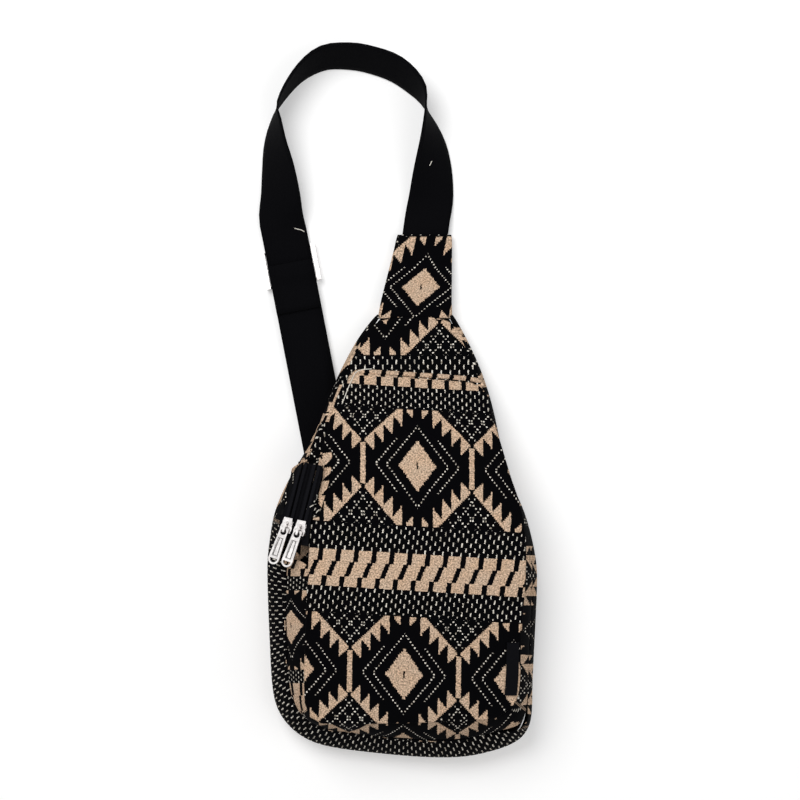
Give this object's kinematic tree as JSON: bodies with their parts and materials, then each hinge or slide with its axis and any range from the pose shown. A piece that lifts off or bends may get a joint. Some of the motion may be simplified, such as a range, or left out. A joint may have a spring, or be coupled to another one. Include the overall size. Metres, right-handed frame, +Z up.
{
  "type": "crossbody sling bag",
  "caption": "Teardrop sling bag of woven cotton with a front pocket, side zips, a sleeve at the neck and one adjustable webbing strap.",
  "frame": {"origin": "under the middle of the whole bag and its strap, on the surface it lies on", "axes": "+Z up out of the front panel, +Y from the bottom seam to the neck and the strap's loop, -X the side with the zips"},
  "size_m": [0.1962, 0.4998, 0.0689],
  "materials": {
    "patterned_cotton": "matt jacquard weave in black, tan and cream",
    "back_cotton": "matt plain weave",
    "black_webbing": "matt cotton webbing",
    "zip_tape": "matt woven tape",
    "zip_coil": "satin nylon",
    "nickel_plate": "polished nickel plate"
  },
  "bodies": {
    "bag": {"back_panel": "back_cotton", "main_gusset": "patterned_cotton", "middle_panel": "patterned_cotton", "front_gusset": "patterned_cotton", "front_panel": "patterned_cotton", "divider_facing": "back_cotton", "neck_sleeve": "patterned_cotton", "label_tab": "black_webbing", "strap": "black_webbing", "strap_ring": "nickel_plate", "ring_tab": "black_webbing", "main_tape_outer": "zip_tape", "main_tape_inner": "zip_tape", "main_coil_outer": "zip_coil", "main_coil_inner": "zip_coil", "pocket_tape_outer": "zip_tape", "pocket_tape_inner": "zip_tape", "pocket_coil_outer": "zip_coil", "pocket_coil_inner": "zip_coil"},
    "main_slider": {"main_slider": "nickel_plate"},
    "main_pull": {"main_pull": "nickel_plate"},
    "pocket_slider": {"pocket_slider": "nickel_plate"},
    "pocket_pull": {"pocket_pull": "nickel_plate"},
    "adjuster": {"strap_adjuster": "nickel_plate", "strap_end": "black_webbing"}
  },
  "joints": [
    {"name": "main_zip", "type": "slide", "parent": "bag", "child": "main_slider", "axis": [0.2396, 0.9609, -0.1392], "range_m": [0, 0.036]},
    {"name": "main_pull_hinge", "type": "hinge", "parent": "main_slider", "child": "main_pull", "pos_m": [-0.07691, -0.08672, 0.0524], "axis": [-0.8622, 0.2708, -0.4282], "range_deg": [0, 140]},
    {"name": "pocket_zip", "type": "slide", "parent": "bag", "child": "pocket_slider", "axis": [0.2396, 0.9609, -0.1392], "range_m": [0, 0.036]},
    {"name": "pocket_pull_hinge", "type": "hinge", "parent": "pocket_slider", "child": "pocket_pull", "pos_m": [-0.0676, -0.08842, 0.05671], "axis": [-0.8622, 0.2708, -0.4282], "range_deg": [0, 140]},
    {"name": "adjuster_slide", "type": "slide", "parent": "bag", "child": "adjuster", "axis": [0.1908, -0.9816, 0], "range_m": [0, 0.05]}
  ]
}
